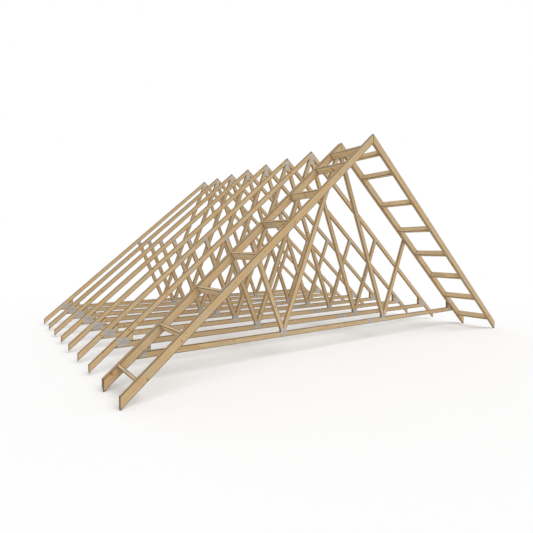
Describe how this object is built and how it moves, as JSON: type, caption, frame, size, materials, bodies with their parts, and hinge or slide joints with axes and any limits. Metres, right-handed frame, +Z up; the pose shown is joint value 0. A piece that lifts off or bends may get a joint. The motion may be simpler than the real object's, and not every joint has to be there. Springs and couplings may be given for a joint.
{
  "type": "trussed rafter roof frame with gable ladder",
  "caption": "Duopitch timber roof frame: a row of webbed trusses joined by punched metal plates, with a ladder of rungs between paired rafters along both slopes of the gable.",
  "frame": {"origin": "middle of the underside of the gable truss's tie: mid-span, mid-thickness, on the level of the wall plates", "axes": "+X across the span, +Y from the gable into the roof along the ridge, +Z up; the ladder lies on the -Y side"},
  "size_m": [6.83, 4.837, 2.9922],
  "materials": {
    "truss_timber": "planed pine",
    "ladder_timber": "planed pine",
    "rung_timber": "planed pine, a little paler and greyer",
    "nail_plate": "galvanised"
  },
  "bodies": {
    "root": {"ladder_inner_rafter_left": "ladder_timber", "ladder_outer_rafter_left": "ladder_timber", "ladder_rungs_left": "rung_timber", "ladder_inner_rafter_right": "ladder_timber", "ladder_outer_rafter_right": "ladder_timber", "ladder_rungs_right": "rung_timber", "gable_truss_rafter_left": "truss_timber", "gable_truss_tie_left": "truss_timber", "gable_truss_inner_web_left": "truss_timber", "gable_truss_outer_web_left": "truss_timber", "gable_truss_heel_wedge_left": "truss_timber", "gable_truss_rafter_right": "truss_timber", "gable_truss_tie_right": "truss_timber", "gable_truss_inner_web_right": "truss_timber", "gable_truss_outer_web_right": "truss_timber", "gable_truss_heel_wedge_right": "truss_timber", "gable_truss_nail_plates": "nail_plate", "truss_2_rafter_left": "truss_timber", "truss_2_rafter_right": "truss_timber", "truss_2_tie": "truss_timber", "truss_2_webs": "truss_timber", "truss_2_heel_wedges": "truss_timber", "truss_2_nail_plates": "nail_plate", "truss_3_rafter_left": "truss_timber", "truss_3_rafter_right": "truss_timber", "truss_3_tie": "truss_timber", "truss_3_webs": "truss_timber", "truss_3_heel_wedges": "truss_timber", "truss_3_nail_plates": "nail_plate", "truss_4_rafter_left": "truss_timber", "truss_4_rafter_right": "truss_timber", "truss_4_tie": "truss_timber", "truss_4_webs": "truss_timber", "truss_4_heel_wedges": "truss_timber", "truss_4_nail_plates": "nail_plate", "truss_5_rafter_left": "truss_timber", "truss_5_rafter_right": "truss_timber", "truss_5_tie": "truss_timber", "truss_5_webs": "truss_timber", "truss_5_heel_wedges": "truss_timber", "truss_5_nail_plates": "nail_plate", "truss_6_rafter_left": "truss_timber", "truss_6_rafter_right": "truss_timber", "truss_6_tie": "truss_timber", "truss_6_webs": "truss_timber", "truss_6_heel_wedges": "truss_timber", "truss_6_nail_plates": "nail_plate", "truss_7_rafter_left": "truss_timber", "truss_7_rafter_right": "truss_timber", "truss_7_tie": "truss_timber", "truss_7_webs": "truss_timber", "truss_7_heel_wedges": "truss_timber", "truss_7_nail_plates": "nail_plate", "truss_8_rafter_left": "truss_timber", "truss_8_rafter_right": "truss_timber", "truss_8_tie": "truss_timber", "truss_8_webs": "truss_timber", "truss_8_heel_wedges": "truss_timber", "truss_8_nail_plates": "nail_plate"}
  },
  "joints": []
}
